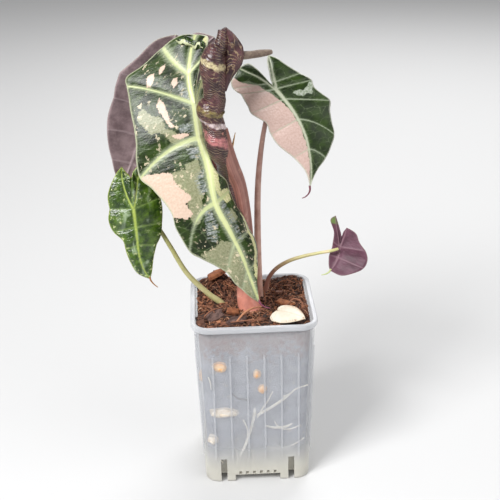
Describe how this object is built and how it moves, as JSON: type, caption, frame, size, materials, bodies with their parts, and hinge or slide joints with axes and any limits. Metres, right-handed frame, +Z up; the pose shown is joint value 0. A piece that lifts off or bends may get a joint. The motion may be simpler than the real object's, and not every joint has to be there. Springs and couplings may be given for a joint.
{
  "type": "potted aroid house plant, pink polly alocasia",
  "caption": "Young alocasia with arrow-shaped variegated leaves and a rolled new leaf, rooted in a clear square nursery pot; stands on a table as a house plant",
  "frame": {"origin": "centre of the pot's footprint, at the level the pot stands on", "axes": "+Z up, -Y towards the face seen in the picture, +X to the right in the picture"},
  "size_m": [0.1443, 0.0728, 0.2603],
  "materials": {
    "pot_plastic": "frosted translucent polypropylene, thin and slightly milky",
    "mix": "damp coir and bark fibre, dark brown, matt",
    "bark": "rough bark flakes",
    "pumice": "porous cream and tan mineral grains",
    "root": "pale fleshy roots",
    "front_blade": "dark green leaf with pale yellow-green veins, cream and pink splashes, satin",
    "back_blade": "dull purple-grey underside of a leaf",
    "right_blade": "leaf half pale pink, half dark green with white veins, satin",
    "small_left_blade": "glossy green leaf with cream speckles and silvery sheen",
    "small_right_blade": "dark purple underside with a green curled lobe",
    "rolled_leaf": "dark burgundy rolled leaf with fine yellow-green rings, satin",
    "pink_stalk": "brownish pink leaf stalk, satin",
    "pale_stalk": "pale yellow-green leaf stalk, satin",
    "fallen_blade": "cream-white dry leaf with brown spots"
  },
  "bodies": {
    "root": {"pot": "pot_plastic", "potting_mix": "mix", "corm_and_roots": "root", "pumice_1": "pumice", "pumice_2": "pumice", "pumice_3": "pumice", "pumice_4": "pumice", "pumice_5": "pumice", "pumice_6": "pumice", "pumice_7": "pumice", "pumice_8": "pumice", "bark_chip_1": "bark", "bark_chip_2": "bark", "bark_chip_3": "bark", "bark_chip_4": "bark", "bark_chip_5": "bark", "front_leaf_stalk": "pink_stalk", "young_leaf": "rolled_leaf", "back_leaf_stalk": "pink_stalk", "right_leaf_stalk": "pink_stalk", "small_left_leaf_stalk": "pale_stalk", "small_right_leaf_stalk": "pink_stalk", "front_leaf": "front_blade", "back_leaf": "back_blade", "right_leaf": "right_blade", "small_left_leaf": "small_left_blade", "small_right_leaf": "small_right_blade", "fallen_leaf": "fallen_blade"}
  },
  "joints": []
}
